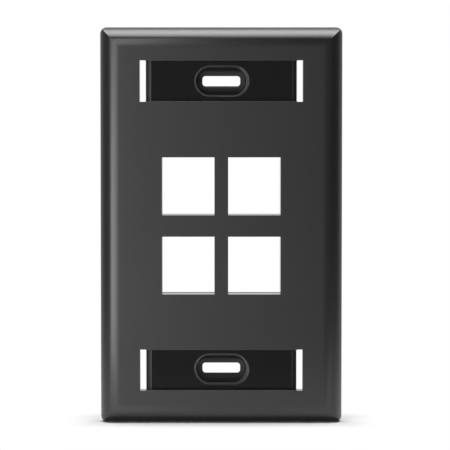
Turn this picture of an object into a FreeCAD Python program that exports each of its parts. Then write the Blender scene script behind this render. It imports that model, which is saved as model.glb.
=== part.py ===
"""Single-gang keystone faceplate: one injection-moulded plate.

The plate stands upright in its own frame. X is to the right as seen from the room, Z is up and Y
points into the wall. The rear rim lies in the plane y = 0, which is the wall, and the visible face
is plate_depth in front of it, towards -Y. The origin is at the centre of the plate in the wall plane.

Depths named below are measured from the visible face towards the wall. All sizes are millimetres.
"""

import FreeCAD, Part
import enum
import math
import os
import Sketcher

NODE = "faceplate"
PARTS_FOLDER = "parts"
SHEET = "Sizes"
PORT_COLUMNS = 2
PORT_ROWS = 2
# Two coordinates no further apart than this, in millimetres, are the same.
TOLERANCE = 0.01

# Driving dimensions: alias, value and what it sets.
DRIVING_SIZES = (
    ("plate_width", 69.85, "single-gang plate, 2.75 in across"),
    ("plate_height", 114.3, "single-gang plate, 4.50 in tall"),
    ("plate_depth", 7.1, "wall to visible face"),
    ("plate_corner", 1.9, "radius of the outline's corners"),
    ("rim_height", 3.1, "straight part of the side, from the wall"),
    ("bevel_radius", 6.0, "arc from the side into the face"),
    ("shoulder_round", 1.0, "moulded radius where the bevel meets the side"),
    ("shell_wall", 2.2, "thickness of the face and the sides"),
    ("hollow_round", 1.6, "fillet inside the hollow"),
    ("recess_width", 46.9, "label recess, end slots included"),
    ("recess_height", 11.6, "label recess"),
    ("recess_depth", 2.45, "label recess"),
    ("recess_end_round", 1.7, "rounded end of the recess floor, beside the end slot"),
    ("tray_wall", 1.5, "walls behind the label recess"),
    ("tray_floor", 1.9, "floor behind the label recess"),
    ("end_slot_width", 1.65, "through-slot at each end of the recess"),
    ("end_slot_height", 11.9, "through-slot at each end of the recess"),
    ("screw_spacing", 83.34, "between the two screw slots, 3.281 in"),
    ("seat_width", 15.6, "sunk screw seat at the recess floor"),
    ("seat_height", 8.6, "sunk screw seat at the recess floor"),
    ("seat_depth", 2.75, "sunk screw seat, below the recess floor"),
    ("seat_draft", 12.0, "degrees, sides of the sunk screw seat"),
    ("seat_round", 0.35, "moulded radius where the seat leaves the recess floor"),
    ("seat_wall", 1.5, "wall round the sunk screw seat"),
    ("boss_gap", 0.3, "screw boss stops short of the wall"),
    ("slot_width", 10.95, "screw slot, narrow end at the rear"),
    ("slot_height", 2.9, "screw slot, narrow end at the rear"),
    ("slot_corner", 0.9, "screw slot, corner radius"),
    ("countersink", 41.0, "degrees, half angle of the countersunk screw slot"),
    ("port_width", 15.1, "keystone opening"),
    ("port_height", 16.65, "keystone opening"),
    ("port_pitch_x", 19.05, "between the two columns"),
    ("port_pitch_z", 22.86, "between the two rows"),
    ("socket_depth", 10.0, "visible face to the rear of the sockets"),
    ("socket_wall", 1.6, "outer walls of the socket block"),
    ("latch_start", 4.0, "depth where the latch pocket starts"),
    ("latch_height", 3.1, "latch pocket above the opening"),
    ("latch_lip", 1.7, "how far the latch lip comes down into its pocket"),
    ("lug_start", 6.4, "depth where the lug pocket starts"),
    ("lug_height", 1.4, "lug pocket below the opening"),
    ("lip_thickness", 2.0, "latch lip and lug lip, front to rear"),
    ("lip_chamfer", 0.8, "lead-in on the rear of both lips"),
    ("core_width", 1.2, "coring slot in the wall between the columns"),
    ("rib_thickness", 1.2, "stiffening ribs"),
    ("rib_clearance", 1.2, "ribs stop short of the wall"),
    ("end_rib_offset", 11.0, "ribs above and below the sockets, from the centre line"),
    ("edge_round", 0.1, "moulded radius on the edges of the visible openings"),
    ("margin", 2.0, "how far a cutting profile runs outside the plate"),
)


class Size:
    """A length that keeps both its number and the formula that binds it to the spreadsheet."""

    def __init__(self, value, formula):
        self.value = value
        self.formula = formula

    @staticmethod
    def of(other):
        """Returns other as a Size; a plain number becomes a constant formula."""
        return other if isinstance(other, Size) else Size(float(other), repr(float(other)))

    def combine(self, other, sign, value):
        return Size(value, f"({self.formula} {sign} {Size.of(other).formula})")

    def __add__(self, other):
        return self.combine(other, "+", self.value + Size.of(other).value)

    def __sub__(self, other):
        return self.combine(other, "-", self.value - Size.of(other).value)

    def __mul__(self, other):
        return self.combine(other, "*", self.value * Size.of(other).value)

    def __truediv__(self, other):
        return self.combine(other, "/", self.value / Size.of(other).value)

    def __neg__(self):
        return Size(-self.value, f"(-1 * {self.formula})")

    def root(self):
        return Size(math.sqrt(self.value), f"sqrt({self.formula})")


class Sizes:
    """The driving dimensions, read as attributes: sizes.plate_width and so on."""

    def __init__(self, rows):
        for alias, value, _ in rows:
            setattr(self, alias, Size(value, f"{SHEET}.{alias}"))


def fill_sheet(doc, rows):
    """Writes the driving dimensions into the document's spreadsheet."""
    sheet = doc.addObject("Spreadsheet::Sheet", SHEET)
    for row, (alias, value, meaning) in enumerate(rows, start=1):
        sheet.set(f"A{row}", alias)
        sheet.set(f"B{row}", str(value))
        sheet.setAlias(f"B{row}", alias)
        sheet.set(f"C{row}", meaning)
    doc.recompute()


# ---------------------------------------------------------------------------------------------
# Sketches
# ---------------------------------------------------------------------------------------------

class Point(enum.IntEnum):
    """How Sketcher numbers the sketch's own origin and the points of a line or an arc."""

    ORIGIN = -1
    START = 1
    END = 2
    CENTRE = 3


def new_sketch(body, name, role, offset=None):
    """Adds a sketch on one of the body's origin planes, shifted along its normal by offset."""
    sketch = body.newObject("Sketcher::SketchObject", name)
    plane = next(o for o in body.Origin.OriginFeatures if o.Role == role)
    sketch.AttachmentSupport = [(plane, "")]
    sketch.MapMode = "FlatFace"
    if offset is not None:
        sketch.AttachmentOffset = FreeCAD.Placement(
            FreeCAD.Vector(0, 0, offset.value), FreeCAD.Rotation()
        )
        sketch.setExpression("AttachmentOffset.Base.z", offset.formula)
    return sketch


def pin(sketch, kind, geometry, point, size):
    """Fixes one coordinate of a point, from the sketch's origin, and binds it to the sheet."""
    index = sketch.addConstraint(
        Sketcher.Constraint(kind, Point.ORIGIN, Point.START, geometry, point, size.value)
    )
    sketch.setExpression(f"Constraints[{index}]", size.formula)


def add_arc(sketch, start, end, centre):
    """Adds the arc that turns anticlockwise from start to end, and returns its number."""
    x, y = (c.value for c in centre)
    radius = math.hypot(start[0].value - x, start[1].value - y)
    first = math.atan2(start[1].value - y, start[0].value - x)
    last = math.atan2(end[1].value - y, end[0].value - x)
    if last <= first:
        last += 2 * math.pi
    circle = Part.Circle(FreeCAD.Vector(x, y, 0), FreeCAD.Vector(0, 0, 1), radius)
    return sketch.addGeometry(Part.ArcOfCircle(circle, first, last))


def add_profile(sketch, corners, arcs=None):
    """Draws a closed profile whose every corner is bound to the sheet.

    corners is a list of (Size, Size). arcs maps an edge's number to (centre, bulges): the edge that
    leaves that corner is then an arc about centre, outwards on an anticlockwise profile if bulges.
    """
    arcs = arcs or {}
    edges = []
    for number, start in enumerate(corners):
        end = corners[(number + 1) % len(corners)]
        if number not in arcs:
            line = Part.LineSegment(
                FreeCAD.Vector(start[0].value, start[1].value, 0),
                FreeCAD.Vector(end[0].value, end[1].value, 0),
            )
            edges.append((sketch.addGeometry(line), Point.START, Point.END))
            continue
        centre, bulges = arcs[number]
        if bulges:
            edges.append((add_arc(sketch, start, end, centre), Point.START, Point.END))
        else:
            edges.append((add_arc(sketch, end, start, centre), Point.END, Point.START))
        # The two ends are pinned as corners; the centre's free coordinate is the one left over.
        upright = abs(end[1].value - start[1].value) > abs(end[0].value - start[0].value)
        if upright:
            pin(sketch, "DistanceX", edges[-1][0], Point.CENTRE, centre[0])
        else:
            pin(sketch, "DistanceY", edges[-1][0], Point.CENTRE, centre[1])
    for number, corner in enumerate(corners):
        edge, first, _ = edges[number]
        before, _, last = edges[number - 1]
        sketch.addConstraint(Sketcher.Constraint("Coincident", before, last, edge, first))
        pin(sketch, "DistanceX", edge, first, corner[0])
        pin(sketch, "DistanceY", edge, first, corner[1])


def add_box(sketch, left, right, bottom, top):
    """Draws a rectangle between four bound coordinates."""
    add_profile(sketch, [(left, bottom), (right, bottom), (right, top), (left, top)])


def add_centred_box(sketch, x, y, width, height):
    """Draws a rectangle about a bound centre."""
    add_box(sketch, x - width / 2, x + width / 2, y - height / 2, y + height / 2)


def add_rounded_box(sketch, x, y, width, height, radius):
    """Draws a rectangle with rounded corners about a bound centre."""
    left, right = x - width / 2, x + width / 2
    bottom, top = y - height / 2, y + height / 2
    corners = [
        (left + radius, bottom),
        (right - radius, bottom),
        (right, bottom + radius),
        (right, top - radius),
        (right - radius, top),
        (left + radius, top),
        (left, top - radius),
        (left, bottom + radius),
    ]
    arcs = {
        1: ((right - radius, bottom + radius), True),
        3: ((right - radius, top - radius), True),
        5: ((left + radius, top - radius), True),
        7: ((left + radius, bottom + radius), True),
    }
    add_profile(sketch, corners, arcs)


def add_obround(sketch, x, y, width, height):
    """Draws a slot shape with full round ends, longer along the sketch's x."""
    left, right = x - (width - height) / 2, x + (width - height) / 2
    bottom, top = y - height / 2, y + height / 2
    corners = [(left, bottom), (right, bottom), (right, top), (left, top)]
    add_profile(sketch, corners, {1: ((right, y), True), 3: ((left, y), True)})


# ---------------------------------------------------------------------------------------------
# Features
# ---------------------------------------------------------------------------------------------


def finish_feature(body, feature, base, grows):
    """Recomputes and makes sure that the feature adds material to its base, or removes some."""
    before = base.Shape.Volume if base else 0.0
    body.Document.recompute()
    after = feature.Shape.Volume
    if (after > before) != grows or math.isclose(after, before):
        raise RuntimeError(f"{feature.Label} changed nothing: {before} -> {after}")
    return feature


def add_pad(body, sketch, name, length, reverse=False):
    """Adds material over a sketch; by default along the sketch's normal."""
    pad = body.newObject("PartDesign::Pad", name)
    pad.Profile = sketch
    pad.Reversed = reverse
    pad.Length = length.value
    pad.setExpression("Length", length.formula)
    return finish_feature(body, pad, pad.BaseFeature, grows=True)


def add_pocket(body, sketch, name, length=None, side="One side", reverse=False, draft=None):
    """Removes material over a sketch, by default against its normal; all through with no length."""
    pocket = body.newObject("PartDesign::Pocket", name)
    pocket.Profile = sketch
    pocket.SideType = side
    pocket.Reversed = reverse
    if length is None:
        pocket.Type = "ThroughAll"
    else:
        pocket.Length = length.value
        pocket.setExpression("Length", length.formula)
    if draft is not None:
        pocket.TaperAngle = -draft.value
        pocket.setExpression("TaperAngle", f"-1 * {draft.formula}")
    return finish_feature(body, pocket, pocket.BaseFeature, grows=False)


def add_fillet(body, base, name, edges, radius):
    """Rounds the named edges of the feature before it."""
    if not edges:
        raise RuntimeError(f"{name} found no edge to round")
    fillet = body.newObject("PartDesign::Fillet", name)
    fillet.Base = (base, edges)
    fillet.Radius = radius.value
    fillet.setExpression("Radius", radius.formula)
    body.Document.recompute()
    return fillet


def edges_where(shape, wanted):
    """Names the edges whose box passes a test."""
    return [
        f"Edge{number}"
        for number, edge in enumerate(shape.Edges, start=1)
        if wanted(edge, edge.BoundBox)
    ]


def near(first, second):
    """True if two lengths are the same to within the tolerance."""
    return abs(first - second) < TOLERANCE


# ---------------------------------------------------------------------------------------------
# The moulding
# ---------------------------------------------------------------------------------------------


def shape_outside(body, s):
    """The plate's outside: a rounded block with an arc rolled along each side and end.

    The side arcs run the full height and the end arcs the full width, so they meet in a sharp
    mitre at each corner. A moulded radius softens the line where the arcs leave the rim.
    """
    zero = Size.of(0)
    outline = new_sketch(body, "OutlineSketch", "XZ_Plane")
    add_rounded_box(outline, zero, zero, s.plate_width, s.plate_height, s.plate_corner)
    add_pad(body, outline, "PlateBlock", s.plate_depth)

    drop = s.plate_depth - s.rim_height
    centre_drop = s.bevel_radius - drop
    reach = (s.bevel_radius * s.bevel_radius - centre_drop * centre_drop).root()
    front = -s.plate_depth
    centre_y = s.bevel_radius - s.plate_depth
    rim = -s.rim_height

    sides = new_sketch(body, "SideArcSketch", "XY_Plane")
    x = s.plate_width / 2
    add_profile(
        sides,
        [(x - reach, front - s.margin), (x + s.margin, front - s.margin), (x + s.margin, rim),
         (x, rim), (x - reach, front)],
        {3: ((x - reach, centre_y), False)},
    )
    add_profile(
        sides,
        [(reach - x, front), (-x, rim), (-x - s.margin, rim), (-x - s.margin, front - s.margin),
         (reach - x, front - s.margin)],
        {0: ((reach - x, centre_y), False)},
    )
    add_pocket(body, sides, "SideArcs", side="Symmetric")

    ends = new_sketch(body, "EndArcSketch", "YZ_Plane")
    z = s.plate_height / 2
    add_profile(
        ends,
        [(front, z - reach), (rim, z), (rim, z + s.margin), (front - s.margin, z + s.margin),
         (front - s.margin, z - reach)],
        {0: ((centre_y, z - reach), False)},
    )
    add_profile(
        ends,
        [(front - s.margin, reach - z), (front - s.margin, -z - s.margin), (rim, -z - s.margin),
         (rim, -z), (front, reach - z)],
        {3: ((centre_y, reach - z), False)},
    )
    rolled = add_pocket(body, ends, "EndArcs", side="Symmetric")

    side_x = s.plate_width.value / 2
    side_z = s.plate_height.value / 2
    rim_y = rim.value

    def on_shoulder(edge, box):
        level = near(box.YMin, rim_y) and near(box.YMax, rim_y)
        beside = near(abs(box.XMin), side_x) and near(abs(box.XMax), side_x)
        beyond = near(abs(box.ZMin), side_z) and near(abs(box.ZMax), side_z)
        return level and (beside or beyond)

    shoulders = edges_where(rolled.Shape, on_shoulder)
    add_fillet(body, rolled, "ShoulderRounds", shoulders, s.shoulder_round)


def hollow_rear(body, s):
    """The hollow behind the face, open to the wall, with rounded inner edges."""
    zero = Size.of(0)
    width = s.plate_width - s.shell_wall * 2
    height = s.plate_height - s.shell_wall * 2
    sketch = new_sketch(body, "HollowSketch", "XZ_Plane")
    add_centred_box(sketch, zero, zero, width, height)
    hollow = add_pocket(body, sketch, "RearHollow", s.plate_depth - s.shell_wall, reverse=True)

    ceiling = s.shell_wall.value - s.plate_depth.value
    inside_x = width.value / 2 + TOLERANCE
    inside_z = height.value / 2 + TOLERANCE

    def inside(edge, box):
        across = max(abs(box.XMin), abs(box.XMax)) < inside_x
        along = max(abs(box.ZMin), abs(box.ZMax)) < inside_z
        return across and along and near(box.YMin, ceiling)

    add_fillet(body, hollow, "HollowRounds", edges_where(hollow.Shape, inside), s.hollow_round)


def add_backing(body, s):
    """What stands behind the face: label trays, screw bosses, the socket block and the ribs."""
    zero = Size.of(0)
    ceiling = s.plate_depth - s.shell_wall
    screw_z = s.screw_spacing / 2

    trays = new_sketch(body, "TraySketch", "XZ_Plane", ceiling)
    for z in (screw_z, -screw_z):
        add_centred_box(
            trays, zero, z, s.recess_width + s.tray_wall * 2, s.end_slot_height + s.tray_wall * 2
        )
    add_pad(
        body, trays, "LabelTrays", s.recess_depth + s.tray_floor - s.shell_wall, reverse=True
    )

    bosses = new_sketch(body, "BossSketch", "XZ_Plane", ceiling)
    for z in (screw_z, -screw_z):
        add_obround(
            bosses, zero, z, s.seat_width + s.seat_wall * 2, s.seat_height + s.seat_wall * 2
        )
    add_pad(body, bosses, "ScrewBosses", ceiling - s.boss_gap, reverse=True)

    block = new_sketch(body, "SocketBlockSketch", "XZ_Plane", ceiling)
    half_width = s.port_pitch_x / 2 + s.port_width / 2 + s.socket_wall
    port_edge = s.port_pitch_z / 2 + s.port_height / 2
    block_top = port_edge + s.latch_height + s.socket_wall
    block_bottom = -port_edge - s.lug_height - s.socket_wall
    add_box(block, -half_width, half_width, block_bottom, block_top)
    add_pad(body, block, "SocketBlock", s.socket_depth - s.shell_wall, reverse=True)

    ribs = new_sketch(body, "RibSketch", "XZ_Plane", ceiling)
    inside_x = s.plate_width / 2 - s.shell_wall
    tray_edge = screw_z - s.end_slot_height / 2 - s.tray_wall
    half_rib = s.rib_thickness / 2
    for z in (s.port_pitch_z / 2, -s.port_pitch_z / 2):
        add_box(ribs, half_width, inside_x, z - half_rib, z + half_rib)
        add_box(ribs, -inside_x, -half_width, z - half_rib, z + half_rib)
    for x in (s.end_rib_offset, -s.end_rib_offset):
        add_box(ribs, x - half_rib, x + half_rib, block_top, tray_edge)
        add_box(ribs, x - half_rib, x + half_rib, -tray_edge, block_bottom)
    add_pad(body, ribs, "Ribs", ceiling - s.rib_clearance, reverse=True)


def cut_label_recesses(body, s):
    """The two label recesses, with a through-slot at each end and a rounded floor beside it."""
    zero = Size.of(0)
    screw_z = s.screw_spacing / 2
    recess = new_sketch(body, "RecessSketch", "XZ_Plane", s.plate_depth)
    for z in (screw_z, -screw_z):
        add_centred_box(recess, zero, z, s.recess_width, s.recess_height)
    add_pocket(body, recess, "LabelRecesses", s.recess_depth)

    slots = new_sketch(body, "EndSlotSketch", "XZ_Plane", s.plate_depth)
    slot_x = s.recess_width / 2 - s.end_slot_width / 2
    for z in (screw_z, -screw_z):
        for x in (slot_x, -slot_x):
            add_centred_box(slots, x, z, s.end_slot_width, s.end_slot_height)
    end_slots = add_pocket(body, slots, "EndSlots")

    floor_end = s.recess_width.value / 2 - s.end_slot_width.value
    floor_y = s.recess_depth.value - s.plate_depth.value

    def at_floor_end(edge, box):
        upright = near(box.XMin, box.XMax) and near(abs(box.XMin), floor_end)
        return upright and near(box.YMin, floor_y) and near(box.YMax, floor_y)

    edges = edges_where(end_slots.Shape, at_floor_end)
    add_fillet(body, end_slots, "RecessEndRounds", edges, s.recess_end_round)


def cut_screw_slots(body, s):
    """The sunk screw seats and the countersunk slots for oval-head screws.

    A slot narrows towards the wall until it is smaller than the screw's thread, so a screw that is
    turned through it stays in the plate.
    """
    zero = Size.of(0)
    screw_z = s.screw_spacing / 2
    floor = s.plate_depth - s.recess_depth
    outlines = new_sketch(body, "SeatSketch", "XZ_Plane", floor)
    for z in (screw_z, -screw_z):
        add_obround(outlines, zero, z, s.seat_width, s.seat_height)
    seats = add_pocket(body, outlines, "ScrewSeats", s.seat_depth, draft=s.seat_draft)

    floor_y = -floor.value

    def on_seat_rim(edge, box):
        flat = near(box.YMin, floor_y) and near(box.YMax, floor_y)
        return flat and max(abs(box.XMin), abs(box.XMax)) < s.seat_width.value

    rims = edges_where(seats.Shape, on_seat_rim)
    add_fillet(body, seats, "SeatRounds", rims, s.seat_round)

    slots = new_sketch(body, "ScrewSlotSketch", "XZ_Plane", s.boss_gap)
    for z in (screw_z, -screw_z):
        add_rounded_box(slots, zero, z, s.slot_width, s.slot_height, s.slot_corner)
    through = floor - s.boss_gap - s.seat_depth
    add_pocket(body, slots, "ScrewSlots", through, reverse=True, draft=-s.countersink)


def cut_sockets(body, s):
    """Four keystone sockets, cut from one side profile.

    A jack comes in from the rear, hooks its fixed lug under the lower lip and snaps its sprung
    latch behind the upper lip. The opening at the face is the smallest section.
    """
    front = -s.plate_depth
    rear = s.socket_depth - s.plate_depth
    low = -s.port_pitch_z / 2 - s.port_height / 2
    high = low + s.port_height
    latch_top = high + s.latch_height
    lip_edge = latch_top - s.latch_lip
    lip_front = rear - s.lip_thickness
    profile = new_sketch(body, "SocketSketch", "YZ_Plane", -s.port_pitch_x / 2)
    add_profile(
        profile,
        [
            (front - s.margin, low),
            (front + s.lug_start, low),
            (front + s.lug_start, low - s.lug_height),
            (lip_front, low - s.lug_height),
            (lip_front, low),
            (rear - s.lip_chamfer, low),
            (rear, low - s.lip_chamfer),
            (rear + s.margin, low - s.lip_chamfer),
            (rear + s.margin, lip_edge + s.lip_chamfer),
            (rear, lip_edge + s.lip_chamfer),
            (rear - s.lip_chamfer, lip_edge),
            (lip_front, lip_edge),
            (lip_front, latch_top),
            (front + s.latch_start, latch_top),
            (front + s.latch_start, high),
            (front - s.margin, high),
        ],
    )
    socket = add_pocket(body, profile, "Socket", s.port_width, side="Symmetric")

    sockets = body.newObject("PartDesign::LinearPattern", "Sockets")
    sockets.Originals = [socket]
    sockets.Direction = (profile, ["N_Axis"])
    sockets.Direction2 = (profile, ["V_Axis"])
    sockets.Occurrences = PORT_COLUMNS
    sockets.Occurrences2 = PORT_ROWS
    sockets.setExpression("Length", (s.port_pitch_x * (PORT_COLUMNS - 1)).formula)
    sockets.setExpression("Length2", (s.port_pitch_z * (PORT_ROWS - 1)).formula)
    body.Tip = sockets
    finish_feature(body, sockets, socket, grows=False)

    core = new_sketch(body, "CoreSketch", "XZ_Plane", s.plate_depth - s.socket_depth)
    zero = Size.of(0)
    for z in (s.port_pitch_z / 2, -s.port_pitch_z / 2):
        add_centred_box(core, zero, z, s.core_width, s.port_height)
    add_pocket(body, core, "DividerCores", s.socket_depth - s.shell_wall, reverse=True)


def round_front_edges(body, s):
    """The small moulded radius round every opening in the visible face."""
    last = body.Tip
    front = -s.plate_depth.value
    inside_x = s.plate_width.value / 2 - s.bevel_radius.value - s.margin.value
    inside_z = s.plate_height.value / 2 - s.bevel_radius.value - s.margin.value

    def on_opening(edge, box):
        flat = near(box.YMin, front) and near(box.YMax, front)
        return flat and max(abs(box.XMin), abs(box.XMax)) < inside_x and abs(box.ZMax) < inside_z

    add_fillet(body, last, "OpeningRounds", edges_where(last.Shape, on_opening), s.edge_round)


def make_faceplate(doc, s):
    """Models the whole moulding as one body."""
    body = doc.addObject("PartDesign::Body", "Faceplate")
    body.Label = NODE
    shape_outside(body, s)
    hollow_rear(body, s)
    add_backing(body, s)
    cut_label_recesses(body, s)
    cut_screw_slots(body, s)
    cut_sockets(body, s)
    round_front_edges(body, s)
    return body


def check_document(doc, body):
    """Stops if any object failed to recompute or the body is not one sound solid."""
    for item in doc.Objects:
        if "Invalid" in item.State or "Error" in item.State:
            raise RuntimeError(f"{item.Label} did not recompute: {item.State}")
    if body.Shape.isNull() or not body.Shape.isValid() or len(body.Shape.Solids) != 1:
        raise RuntimeError(f"{body.Label} is not one valid solid")


def main():
    doc = FreeCAD.newDocument("KeystoneFaceplate")
    fill_sheet(doc, DRIVING_SIZES)
    body = make_faceplate(doc, Sizes(DRIVING_SIZES))
    check_document(doc, body)
    os.makedirs(PARTS_FOLDER, exist_ok=True)
    body.Shape.exportStep(os.path.join(PARTS_FOLDER, f"{body.Label}.step"))
    box = body.Shape.BoundBox
    print(f"{body.Label}: {box.XLength:.2f} x {box.YLength:.2f} x {box.ZLength:.2f} mm,"
          f" {body.Shape.Volume / 1000:.2f} cm3, {len(body.Shape.Faces)} faces")


main()
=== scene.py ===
"""Studio scene for a single-gang keystone faceplate, moulded in black plastic.

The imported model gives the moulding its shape. This script dresses it: the front and the walls
of the screw seats keep the fine sparked texture of their mould, the rounded recess ends and the
countersinks are coarser, and the recess floors, the sockets and the whole rear come from polished
steel. All lengths are in metres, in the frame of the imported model: X to the right, Z up, Y into
the wall, with the origin at the plate's centre in the wall plane.
"""

import logging
import math
from dataclasses import dataclass, field
from enum import Enum

import bpy
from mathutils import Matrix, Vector


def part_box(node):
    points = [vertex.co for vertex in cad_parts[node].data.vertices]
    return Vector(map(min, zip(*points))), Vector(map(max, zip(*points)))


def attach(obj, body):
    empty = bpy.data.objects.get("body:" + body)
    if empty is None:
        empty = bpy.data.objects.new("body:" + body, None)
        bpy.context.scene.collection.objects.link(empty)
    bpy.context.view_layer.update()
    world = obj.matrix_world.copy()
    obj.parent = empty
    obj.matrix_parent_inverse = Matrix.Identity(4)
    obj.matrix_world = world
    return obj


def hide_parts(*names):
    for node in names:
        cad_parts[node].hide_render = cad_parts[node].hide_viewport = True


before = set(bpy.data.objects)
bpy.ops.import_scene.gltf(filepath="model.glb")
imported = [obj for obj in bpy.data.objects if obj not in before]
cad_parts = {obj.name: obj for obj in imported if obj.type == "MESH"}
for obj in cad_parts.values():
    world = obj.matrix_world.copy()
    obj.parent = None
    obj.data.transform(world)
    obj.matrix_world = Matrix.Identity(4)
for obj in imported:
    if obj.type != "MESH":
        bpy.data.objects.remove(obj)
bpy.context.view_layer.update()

NODE = "faceplate"
BODY = "root"
MM = 0.001

log = logging.getLogger("faceplate_scene")


# -------------------------------------------------------------------------------------------------
# Materials
# -------------------------------------------------------------------------------------------------


def linear(hex_colour: str) -> tuple[float, float, float, float]:
    """Turns an sRGB hex colour into linear light.

    Args:
        hex_colour: A colour such as "#1d1d1f".

    Returns:
        Red, green, blue and an alpha of 1.
    """
    parts = [int(hex_colour[i : i + 2], 16) / 255 for i in (1, 3, 5)]
    lit = [c / 12.92 if c <= 0.04045 else ((c + 0.055) / 1.055) ** 2.4 for c in parts]
    return (*lit, 1.0)


def add_node(
    tree: bpy.types.NodeTree,
    kind: str,
    settings: dict[str, object] | None = None,
    inputs: dict[str | int, object] | None = None,
) -> bpy.types.Node:
    """Adds a node, sets it up and links what feeds it.

    Args:
        tree: The node tree that gets the node.
        kind: The node's type name.
        settings: Properties of the node itself.
        inputs: Values by socket; an output socket is linked, anything else is set.

    Returns:
        The new node.
    """
    node = tree.nodes.new(kind)
    for name, value in (settings or {}).items():
        setattr(node, name, value)
    for name, value in (inputs or {}).items():
        if isinstance(value, bpy.types.NodeSocket):
            tree.links.new(value, node.inputs[name])
        else:
            node.inputs[name].default_value = value
    return node


class MouldSurface(Enum):
    """How the steel that shaped a part of the moulding was finished."""

    SPARKED = "sparked"
    POLISHED = "polished"
    ERODED = "eroded"


@dataclass(frozen=True)
class BlackThermoplastic:
    """Black ABS, filled with carbon black and injection moulded.

    The pigment leaves almost no body colour, so the eye reads the part by its sheen: broad and
    grey where the mould was sparked or eroded, narrow and near black where it was polished.
    """

    surface: MouldSurface
    colour: str
    roughness: float
    grain_size: float
    grain_height: float
    ior: float = 1.53
    roughness_spread: float = 0.01
    flow_length: float = 38.0 * MM

    def build(self) -> bpy.types.Material:
        """Builds the node material.

        Returns:
            The finished material.
        """
        material = bpy.data.materials.new(f"Moulded ABS, {self.surface.value}")
        material.use_nodes = True
        tree = material.node_tree
        tree.nodes.clear()
        place = add_node(tree, "ShaderNodeTexCoord").outputs["Object"]
        # Melt cools unevenly as it fills the mould, so the gloss drifts slowly across the part.
        flow = add_node(
            tree,
            "ShaderNodeTexNoise",
            inputs={"Vector": place, "Scale": 1.0 / self.flow_length, "Detail": 2.0},
        )
        rough = add_node(
            tree,
            "ShaderNodeMapRange",
            inputs={
                "Value": flow.outputs["Fac"],
                "To Min": self.roughness - self.roughness_spread,
                "To Max": self.roughness + self.roughness_spread,
            },
        )
        # Erosion and polishing leave overlapping bumps; grain_size is the width of one of them.
        grain = add_node(
            tree,
            "ShaderNodeTexNoise",
            inputs={
                "Vector": place,
                "Scale": 1.0 / self.grain_size,
                "Detail": 3.0,
                "Roughness": 0.6,
            },
        )
        bump = add_node(
            tree,
            "ShaderNodeBump",
            inputs={"Height": grain.outputs["Fac"], "Distance": self.grain_height},
        )
        shader = add_node(
            tree,
            "ShaderNodeBsdfPrincipled",
            inputs={
                "Base Color": linear(self.colour),
                "Roughness": rough.outputs["Result"],
                "IOR": self.ior,
                "Normal": bump.outputs["Normal"],
            },
        )
        add_node(
            tree, "ShaderNodeOutputMaterial", inputs={"Surface": shader.outputs["BSDF"]}
        )
        return material


# Overlapping spark craters, about a third of a millimetre wide, give the front its satin sheen.
SPARKED_FRONT = BlackThermoplastic(
    surface=MouldSurface.SPARKED,
    colour="#111112",
    roughness=0.39,
    grain_size=0.35 * MM,
    grain_height=0.012 * MM,
)

# Polished steel leaves the recess floors and the rear smooth, so they mirror the dark room.
POLISHED_WELL = BlackThermoplastic(
    surface=MouldSurface.POLISHED,
    colour="#111112",
    roughness=0.15,
    grain_size=1.6 * MM,
    grain_height=0.004 * MM,
)


# The electrode leaves the recess ends and the countersinks coarser than the rest.
ERODED_END = BlackThermoplastic(
    surface=MouldSurface.ERODED,
    colour="#111112",
    roughness=0.7,
    grain_size=0.5 * MM,
    grain_height=0.02 * MM,
)


# -------------------------------------------------------------------------------------------------
# The moulding
# -------------------------------------------------------------------------------------------------


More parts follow.
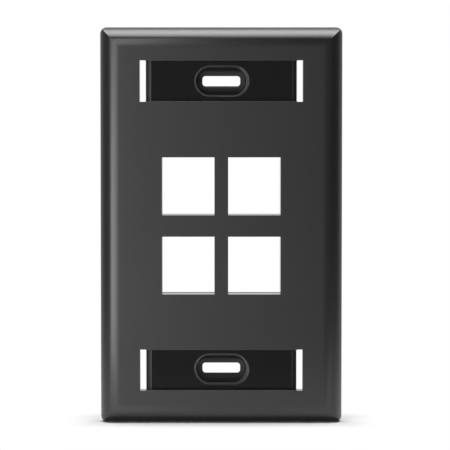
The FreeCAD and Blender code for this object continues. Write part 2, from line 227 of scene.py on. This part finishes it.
@dataclass
class Faceplate:
    """The one-piece moulding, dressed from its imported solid."""

    node: str = NODE
    merge_distance: float = 0.002 * MM
    smooth_angle: float = math.radians(28.0)
    finishes: tuple[BlackThermoplastic, ...] = (SPARKED_FRONT, POLISHED_WELL, ERODED_END)
    front_tolerance: float = 0.3 * MM
    rim_band: float = 5.6 * MM
    seat_level: float = -1.95 * MM
    low: Vector = field(init=False)
    high: Vector = field(init=False)

    def __post_init__(self) -> None:
        """Reads the moulding's corners from the frame."""
        self.low, self.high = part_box(self.node)

    def build(self) -> bpy.types.Object:
        """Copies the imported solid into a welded, smoothly shaded mesh.

        Returns:
            The new object, at the origin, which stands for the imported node.
        """
        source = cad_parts[self.node]
        piece = bpy.data.objects.new("faceplate_moulding", source.data.copy())
        bpy.context.scene.collection.objects.link(piece)
        bpy.ops.object.select_all(action="DESELECT")
        piece.select_set(True)
        bpy.context.view_layer.objects.active = piece
        bpy.ops.mesh.customdata_custom_splitnormals_clear()
        bpy.ops.object.mode_set(mode="EDIT")
        bpy.ops.mesh.select_all(action="SELECT")
        bpy.ops.mesh.remove_doubles(threshold=self.merge_distance)
        bpy.ops.object.mode_set(mode="OBJECT")
        bpy.ops.object.shade_smooth_by_angle(angle=self.smooth_angle)
        # Weighting by area keeps the broad flats truly flat beside their rounded edges.
        bpy.ops.object.modifier_add(type="WEIGHTED_NORMAL")
        weighted = piece.modifiers[-1]
        weighted.keep_sharp = True
        bpy.ops.object.modifier_apply(modifier=weighted.name)
        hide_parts(self.node)
        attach(piece, BODY)
        return piece

    def is_front(self, centre: Vector, normal: Vector) -> bool:
        """Tells whether a face belongs to the outside that shows on the wall.

        Args:
            centre: The face's centre.
            normal: The face's normal.

        Returns:
            True on the visible face and the rolled sides, False in every sunk or rear area.
        """
        beside = min(self.high.x - abs(centre.x), self.high.z - abs(centre.z))
        on_face = centre.y < self.low.y + self.front_tolerance
        outward = normal.x * centre.x > 0 or normal.z * centre.z > 0
        on_side = beside < self.rim_band and normal.y < 0.05 and outward
        return on_face or on_side

    def surface_of(self, centre: Vector, normal: Vector) -> MouldSurface:
        """Tells how the steel behind a face was finished.

        Args:
            centre: The face's centre.
            normal: The face's normal.

        Returns:
            Sparked on the outside and on the walls of the screw seats, eroded on the rounded
            recess ends and in the countersinks, polished everywhere else.
        """
        if self.is_front(centre, normal):
            return MouldSurface.SPARKED
        in_recess = abs(centre.z) > self.high.z / 2 and centre.y < 0.0
        if not in_recess or not -0.98 < normal.y < -0.1:
            return MouldSurface.POLISHED
        at_end = abs(centre.x) > self.high.x / 2
        if at_end or centre.y > self.seat_level:
            return MouldSurface.ERODED
        return MouldSurface.SPARKED

    def dress(self, piece: bpy.types.Object) -> None:
        """Gives every face the finish that its mould left on it.

        Args:
            piece: The welded moulding.
        """
        piece.data.materials.clear()
        slots = {}
        for number, finish in enumerate(self.finishes):
            piece.data.materials.append(finish.build())
            slots[finish.surface] = number
        for face in piece.data.polygons:
            face.material_index = slots[self.surface_of(face.center, face.normal)]


# -------------------------------------------------------------------------------------------------
# Studio
# -------------------------------------------------------------------------------------------------


@dataclass(frozen=True)
class SoftBox:
    """A rectangular studio soft box, aimed at a point.

    Args given as angles are seen from the plate: azimuth from straight ahead, positive to the
    left, and elevation above the horizon.
    """

    name: str
    azimuth: float
    elevation: float
    distance: float
    width: float
    height: float
    power: float

    def build(self, aim: Vector) -> bpy.types.Object:
        """Adds the lamp.

        Args:
            aim: The point the soft box faces.

        Returns:
            The lamp object.
        """
        lamp = bpy.data.lights.new(self.name, "AREA")
        lamp.shape = "RECTANGLE"
        lamp.size = self.width
        lamp.size_y = self.height
        lamp.energy = self.power
        holder = bpy.data.objects.new(self.name, lamp)
        bpy.context.scene.collection.objects.link(holder)
        turn, lift = math.radians(self.azimuth), math.radians(self.elevation)
        away = Vector(
            (-math.sin(turn) * math.cos(lift), -math.cos(turn) * math.cos(lift), math.sin(lift))
        )
        holder.location = aim + away * self.distance
        holder.rotation_euler = away.to_track_quat("Z", "Y").to_euler()
        return holder


@dataclass
class Studio:
    """The pale floor, the white surroundings, the lamps and the camera.

    The card has two colours: as the lens sees it, a darker tone painted in as shade at the foot, and
    bounce_colour, as the object sees it; shadow_reach is how far from the foot the card starts and
    ends its way to white. backdrop_edge is where, in the Y of a direction, the dim room gives way to
    the backdrop.
    """

    floor_level: float
    floor_size: tuple[float, float] = (0.30, 0.12)
    painted_shade_card_colour: str = "#c4c4c4"
    bounce_colour: str = "#f6f6f6"
    shadow_reach: tuple[float, float] = (0.0, 0.012)
    room_light: float = 0.13
    backdrop_light: float = 0.9
    backdrop_edge: tuple[float, float] = (0.1, 0.45)
    camera_rise: float = 37.0 * MM
    camera_distance: float = 0.6995
    lens: float = 194.4
    shift: tuple[float, float] = (0.0082, 0.0023)
    lamps: tuple[SoftBox, ...] = (
        SoftBox("Left soft box", 30.0, -8.0, 0.75, 0.34, 0.76, 6.7),
        SoftBox("Overhead soft box", 0.0, 85.5, 0.552, 0.50, 0.33, 6.2),
    )

    def build_floor(self, foot: Vector) -> bpy.types.Object:
        """Lays the floor at the plate's lower edge.

        Args:
            foot: Half the width and half the depth of what stands on the floor.

        Returns:
            The floor object.
        """
        bpy.ops.object.select_all(action="DESELECT")
        bpy.ops.mesh.primitive_plane_add(size=1.0, location=(0.0, 0.0, self.floor_level))
        floor = bpy.context.object
        floor.name = "Floor"
        floor.scale = (*self.floor_size, 1.0)
        bpy.ops.object.transform_apply(location=False, rotation=False, scale=True)
        floor.data.materials.append(self.floor_material(foot))
        return floor

    def floor_material(self, foot: Vector) -> bpy.types.Material:
        """Pale matt card that keeps the shadow at the foot, deepened by painted shade, and runs out
        into plain white.

        Args:
            foot: Half the width and half the depth of what stands on the floor.

        Returns:
            The floor's material.
        """
        material = bpy.data.materials.new("Pale matt card")
        material.use_nodes = True
        tree = material.node_tree
        tree.nodes.clear()
        place = add_node(tree, "ShaderNodeTexCoord").outputs["Object"]
        # How far a point lies outside the foot's rectangle.
        folded = add_node(tree, "ShaderNodeVectorMath", {"operation": "ABSOLUTE"}, {0: place})
        beyond = add_node(
            tree,
            "ShaderNodeVectorMath",
            {"operation": "SUBTRACT"},
            {0: folded.outputs["Vector"], 1: foot},
        )
        outside = add_node(
            tree,
            "ShaderNodeVectorMath",
            {"operation": "MAXIMUM"},
            {0: beyond.outputs["Vector"], 1: (0.0, 0.0, 0.0)},
        )
        away = add_node(
            tree, "ShaderNodeVectorMath", {"operation": "LENGTH"}, {0: outside.outputs["Vector"]}
        )
        seen = add_node(tree, "ShaderNodeLightPath").outputs["Is Camera Ray"]
        # The lens sees the card in a darker tone than the plate does, painted shade that deepens the
        # shadow at the foot, while the lighter tone bounces more light onto the plate. Inputs 6 and
        # 7 and output 2 are the node's colour sockets.
        tone_with_painted_shade = add_node(
            tree,
            "ShaderNodeMix",
            {"data_type": "RGBA"},
            {0: seen, 6: linear(self.bounce_colour), 7: linear(self.painted_shade_card_colour)},
        )
        card = add_node(tree, "ShaderNodeBsdfDiffuse", inputs={"Color": tone_with_painted_shade.outputs[2]})
        white = add_node(
            tree, "ShaderNodeEmission", inputs={"Color": linear("#ffffff"), "Strength": 1.0}
        )
        # Within shadow_reach of the foot the card keeps its darker lens tone as painted shade round
        # the foot; farther out it turns plain white.
        far = add_node(
            tree,
            "ShaderNodeMapRange",
            {"interpolation_type": "SMOOTHSTEP"},
            {
                "Value": away.outputs["Value"],
                "From Min": self.shadow_reach[0],
                "From Max": self.shadow_reach[1],
            },
        )
        fade = add_node(
            tree,
            "ShaderNodeMath",
            {"operation": "MULTIPLY"},
            {0: far.outputs["Result"], 1: seen},
        )
        mix = add_node(
            tree,
            "ShaderNodeMixShader",
            inputs={0: fade.outputs["Value"], 1: card.outputs["BSDF"], 2: white.outputs["Emission"]},
        )
        add_node(tree, "ShaderNodeOutputMaterial", inputs={"Surface": mix.outputs["Shader"]})
        return material

    def build_world(self) -> None:
        """Makes it white to the lens, pale behind the plate and dim in front of it."""
        world = bpy.data.worlds.new("Studio")
        bpy.context.scene.world = world
        world.use_nodes = True
        tree = world.node_tree
        tree.nodes.clear()
        direction = add_node(tree, "ShaderNodeTexCoord").outputs["Generated"]
        split = add_node(tree, "ShaderNodeSeparateXYZ", inputs={"Vector": direction})
        behind = add_node(
            tree,
            "ShaderNodeMapRange",
            {"interpolation_type": "SMOOTHSTEP"},
            {
                "Value": split.outputs["Y"],
                "From Min": self.backdrop_edge[0],
                "From Max": self.backdrop_edge[1],
                "To Min": self.room_light,
                "To Max": self.backdrop_light,
            },
        )
        room = add_node(
            tree,
            "ShaderNodeBackground",
            inputs={"Color": linear("#ffffff"), "Strength": behind.outputs["Result"]},
        )
        white = add_node(
            tree, "ShaderNodeBackground", inputs={"Color": linear("#ffffff"), "Strength": 1.0}
        )
        seen = add_node(tree, "ShaderNodeLightPath").outputs["Is Camera Ray"]
        mix = add_node(
            tree,
            "ShaderNodeMixShader",
            inputs={0: seen, 1: room.outputs["Background"], 2: white.outputs["Background"]},
        )
        add_node(tree, "ShaderNodeOutputWorld", inputs={"Surface": mix.outputs["Shader"]})

    def build_lamps(self) -> None:
        """Adds the soft boxes, aimed at the plate's centre."""
        for lamp in self.lamps:
            lamp.build(Vector((0.0, 0.0, 0.0)))

    def build_camera(self, low: Vector, high: Vector) -> bpy.types.Object:
        """Sets a long lens a little above the plate's centre.

        Args:
            low: The object's lowest corner.
            high: The object's highest corner.

        Returns:
            The camera object.
        """
        face = Vector(((low.x + high.x) / 2, low.y, (low.z + high.z) / 2))
        data = bpy.data.cameras.new("Studio camera")
        data.lens = self.lens
        data.shift_x, data.shift_y = self.shift
        data.clip_start, data.clip_end = 0.05, 20.0
        camera = bpy.data.objects.new("Studio camera", data)
        bpy.context.scene.collection.objects.link(camera)
        reach = math.sqrt(self.camera_distance**2 - self.camera_rise**2)
        camera.location = face + Vector((0.0, -reach, self.camera_rise))
        camera.rotation_euler = (camera.location - face).to_track_quat("Z", "Y").to_euler()
        bpy.context.scene.camera = camera
        return camera

    def build(self, low: Vector, high: Vector) -> None:
        """Builds the whole studio round the object.

        Args:
            low: The object's lowest corner.
            high: The object's highest corner.
        """
        self.build_floor(Vector((high.x, -low.y, 0.0)))
        self.build_world()
        self.build_lamps()
        self.build_camera(low, high)
        bpy.context.scene.view_settings.view_transform = "Standard"


def main() -> None:
    """Builds and dresses the faceplate, then the studio round it."""
    logging.basicConfig(level=logging.INFO, format="%(name)s: %(message)s")
    plate = Faceplate()
    piece = plate.build()
    plate.dress(piece)
    log.info("%s: %d faces", piece.name, len(piece.data.polygons))
    Studio(floor_level=plate.low.z).build(plate.low, plate.high)
    log.info("studio ready")


if __name__ == "__main__":
    main()
